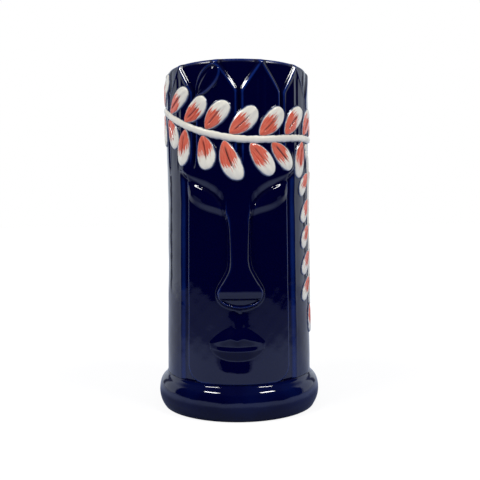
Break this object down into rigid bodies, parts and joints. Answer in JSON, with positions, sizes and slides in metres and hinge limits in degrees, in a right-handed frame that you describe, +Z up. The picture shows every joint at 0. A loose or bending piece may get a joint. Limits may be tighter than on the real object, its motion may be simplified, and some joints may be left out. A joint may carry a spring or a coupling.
{
  "type": "tiki mug",
  "caption": "Tall ceramic tiki mug in deep blue glaze: a straight barrel on a rounded foot, with a carved face in relief and a painted wreath of leaves under a scalloped crown.",
  "frame": {"origin": "centre of the foot on the surface that the mug stands on", "axes": "+Z up through the rim; the face looks along -Y; the leaf tail hangs at +X"},
  "size_m": [0.0796, 0.0796, 0.165],
  "materials": {
    "blue_glaze": "deep cobalt blue, high gloss, breaking lighter on edges",
    "white_glaze": "ivory white, satin gloss",
    "leaf_glaze": "ivory leaves with hand-brushed coral strokes"
  },
  "bodies": {
    "root": {"brow_left": "blue_glaze", "brow_right": "blue_glaze", "crown_leaf": "blue_glaze", "eyelid_left": "blue_glaze", "eyelid_right": "blue_glaze", "face_panel": "blue_glaze", "foot_ring": "blue_glaze", "lower_leaf_01": "leaf_glaze", "lower_leaf_02": "leaf_glaze", "lower_leaf_03": "leaf_glaze", "lower_leaf_04": "leaf_glaze", "lower_leaf_05": "leaf_glaze", "lower_leaf_06": "leaf_glaze", "lower_leaf_07": "leaf_glaze", "lower_leaf_08": "leaf_glaze", "lower_leaf_09": "leaf_glaze", "lower_leaf_10": "leaf_glaze", "lower_leaf_11": "leaf_glaze", "lower_leaf_12": "leaf_glaze", "lower_leaf_13": "leaf_glaze", "lower_leaf_14": "leaf_glaze", "lower_leaf_15": "leaf_glaze", "lower_leaf_16": "leaf_glaze", "lower_leaf_17": "leaf_glaze", "lower_lip": "blue_glaze", "mug_body": "blue_glaze", "nose": "blue_glaze", "tail_leaf_end": "leaf_glaze", "tail_leaf_left_01": "leaf_glaze", "tail_leaf_left_02": "leaf_glaze", "tail_leaf_left_03": "leaf_glaze", "tail_leaf_left_04": "leaf_glaze", "tail_leaf_left_05": "leaf_glaze", "tail_leaf_right_01": "leaf_glaze", "tail_leaf_right_02": "leaf_glaze", "tail_leaf_right_03": "leaf_glaze", "tail_leaf_right_04": "leaf_glaze", "tail_leaf_right_05": "leaf_glaze", "tail_vine": "white_glaze", "upper_leaf_01": "leaf_glaze", "upper_leaf_02": "leaf_glaze", "upper_leaf_03": "leaf_glaze", "upper_leaf_04": "leaf_glaze", "upper_leaf_05": "leaf_glaze", "upper_leaf_06": "leaf_glaze", "upper_leaf_07": "leaf_glaze", "upper_leaf_08": "leaf_glaze", "upper_leaf_09": "leaf_glaze", "upper_leaf_10": "leaf_glaze", "upper_leaf_11": "leaf_glaze", "upper_leaf_12": "leaf_glaze", "upper_leaf_13": "leaf_glaze", "upper_leaf_14": "leaf_glaze", "upper_leaf_15": "leaf_glaze", "upper_leaf_16": "leaf_glaze", "upper_leaf_17": "leaf_glaze", "upper_lip": "blue_glaze", "wreath_vine": "white_glaze"}
  },
  "joints": []
}
